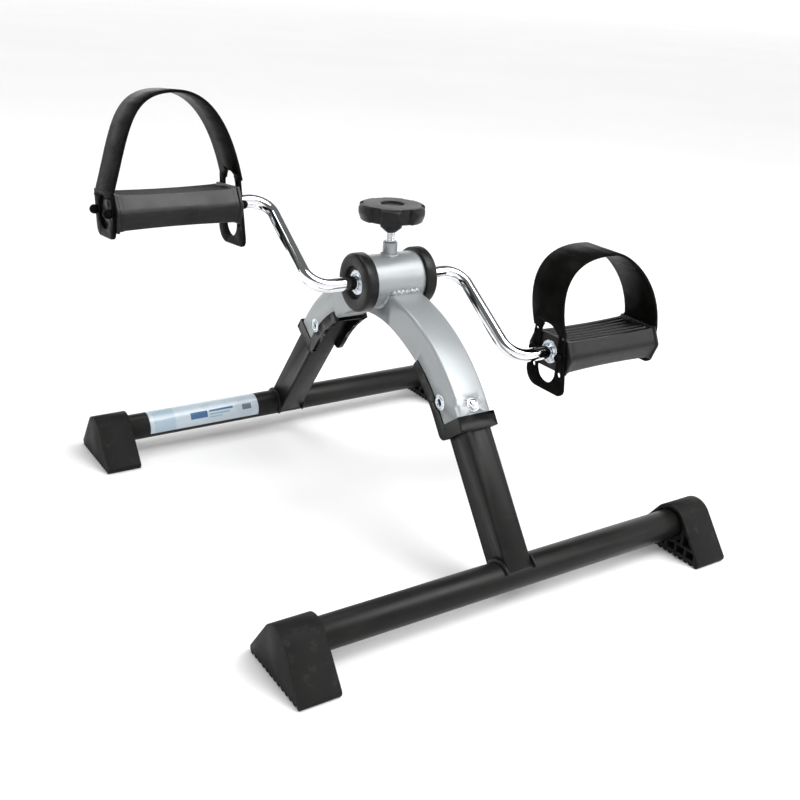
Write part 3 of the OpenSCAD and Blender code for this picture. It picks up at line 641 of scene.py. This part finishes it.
def screw():
    """A threaded screw of 1.25 mm pitch, from the knob down to the brake pad."""
    low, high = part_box("tension_screw")
    length = (high.z - low.z) / MM
    radius = (high.x - low.x) / MM / 2
    pitch, depth, per_turn, around, tip = 1.25, 0.68, 8, 40, 0.02
    lead, lead_cut = 1.2, 0.5
    rows = int(length / pitch * per_turn)

    def centre(z):
        return [(tip * math.cos(a), tip * math.sin(a), z) for a in full_turn(around)]

    def thread(z):
        ring = []
        for i, a in enumerate(full_turn(around)):
            phase = (z / pitch - i / around) % 1.0
            crest = max(0.0, min(1.0, 1.15 - abs(phase - 0.5) * 2.5))
            r = (radius - 0.02) - depth * (1 - crest) - lead_cut * (1 - min(1.0, z / lead))
            ring.append((r * math.cos(a), r * math.sin(a), z))
        return ring

    rings = [centre(0.0)] + [thread(length * k / rows) for k in range(rows + 1)] + [centre(length)]
    axis = joint_at("knob_turn")
    Build().rings(rings, capped=True).moved(Matrix.Translation((axis.x, axis.y, low.z / MM))).piece(
        "threaded_screw", "chrome", "knob", ("tension_screw",), 50)


# ---------------------------------------------------------------- everything on the object

# How wide the rounded edges are, in metres, on nodes that keep their CAD shape
SOFTENED = {
    0.0006: ("arch_tube", "front_floor_tube", "rear_floor_tube", "threaded_boss"),
    0.0008: ("front_arch_liner", "rear_arch_liner", "hub_end_caps"),
    0.0014: ("tension_knob",),
    0.0005: ("front_leg_tube", "rear_leg_tube", "left_toe_strap", "right_toe_strap",
             "left_pedal_plug", "right_pedal_plug",
             "front_left_foot", "front_right_foot", "rear_left_foot", "rear_right_foot"),
}

for entry in frame["record"]["subparts"]:
    dress(NODES[entry["node"]], entry["material_slot"])
    smooth(NODES[entry["node"]])
for width, names in SOFTENED.items():
    for name in names:
        soften(NODES[name], width)

pedals()
rivets()
buttons()
push_nuts()
hub_welds()
screw()


# ---------------------------------------------------------------- stage, light and camera

def backdrop():
    """A pale floor that curves up into a wall all round, far from the object; the wall is painted
    light, an emission that grows with height and glows in place of lamp light on it.
    """
    reach, curve, top, bends = 26.0, 5.0, 14.0, 14
    full_glow_height = 1.5
    line = [(0.0001, 0.0), (1.0, 0.0), (5.0, 0.0), (reach - curve, 0.0)]
    line += [(reach - curve + curve * math.sin(a), curve - curve * math.cos(a))
             for a in (math.pi / 2 * i / bends for i in range(1, bends + 1))]
    line.append((reach, top))
    mesh = bpy.data.meshes.new("floor")
    b = Build().lathe(line, 96)
    mesh.from_pydata(b.points, [], [tuple(reversed(f)) for f in b.faces])
    mesh.shade_smooth()
    floor = bpy.data.objects.new("floor", mesh)
    SCENE.collection.objects.link(floor)
    dark, light = (0.86, 0.86, 0.86), (0.88, 0.88, 0.88)
    s = Shader("floor_paper", dark, 0.85)
    s.colour(s.mix(s.span(s.noise(1.3, 3.0), 0.3, 0.7, 0.0, 1.0), dark, light))
    height = s.node("ShaderNodeSeparateXYZ")
    s.link(s.coord, height.inputs["Vector"])
    s.set("Emission Color", (1.0, 1.0, 1.0, 1.0))
    # Painted light: the backdrop glows, from none at the floor to full strength 1.5 m up, standing
    # in for lamps lighting the wall.
    glow = s.span(height.outputs["Z"], 0.0, full_glow_height, 0.0, 0.5)
    s.link(glow, s.bsdf.inputs["Emission Strength"])
    mesh.materials.append(s.mat)


def softbox(name, place, aim, size, power):
    """A rectangular light, its place and aim in metres and its power in watts."""
    data = bpy.data.lights.new(name, "AREA")
    data.shape = "RECTANGLE"
    data.size, data.size_y = size
    data.energy = power
    light = bpy.data.objects.new(name, data)
    light.location = place
    light.rotation_euler = (Vector(aim) - Vector(place)).to_track_quat("-Z", "Y").to_euler()
    SCENE.collection.objects.link(light)


def studio():
    """One wide overhead light for the floor and its soft shadows, and softboxes for highlights."""
    backdrop()
    middle = (0.0, 0.0, 0.15)
    sun = bpy.data.lights.new("overhead_light", "SUN")
    sun.energy = 2.35
    sun.angle = math.radians(48)
    sun_lamp = bpy.data.objects.new("overhead_light", sun)
    sun_lamp.rotation_euler = Vector((0.28, -0.48, 1.0)).to_track_quat("Z", "Y").to_euler()
    SCENE.collection.objects.link(sun_lamp)
    softbox("key_light", (0.5, -1.1, 1.65), middle, (0.8, 0.6), 14)
    softbox("top_light", (-0.3, 0.6, 1.9), middle, (1.0, 0.5), 10)
    softbox("front_panel", (1.2, -1.35, 1.0), (0.0, -0.15, 0.1), (0.7, 0.7), 6)
    softbox("right_strip", (1.6, -0.2, 1.0), middle, (0.1, 1.0), 1.2)
    world = bpy.data.worlds.new("studio")
    world.use_nodes = True
    sky = world.node_tree.nodes["Background"]
    sky.inputs["Color"].default_value = (1.0, 1.0, 1.0, 1.0)
    sky.inputs["Strength"].default_value = 0.15
    SCENE.world = world
    SCENE.view_settings.view_transform = "Standard"


def camera():
    """The photograph's viewpoint: a slightly rolled camera, in front, to the left and above."""
    place = (-0.4734, -0.7228, 0.4591)
    azimuth, elevation, roll = (math.radians(a) for a in (-34.156, 22.528, 3.527))
    back = Vector((math.sin(azimuth) * math.cos(elevation),
                   -math.cos(azimuth) * math.cos(elevation), math.sin(elevation)))
    right = (-back).cross(Vector((0, 0, 1))).normalized()
    up = right.cross(-back)
    right, up = (math.cos(roll) * right + math.sin(roll) * up,
                 math.cos(roll) * up - math.sin(roll) * right)
    data = bpy.data.cameras.new("camera")
    data.lens = 46.88
    data.sensor_width = 36.0
    data.shift_x = -0.0015
    cam = bpy.data.objects.new("camera", data)
    turned = Matrix((right, up, back)).transposed().to_4x4()
    cam.matrix_world = Matrix.Translation(place) @ turned
    SCENE.collection.objects.link(cam)
    SCENE.camera = cam


studio()
camera()
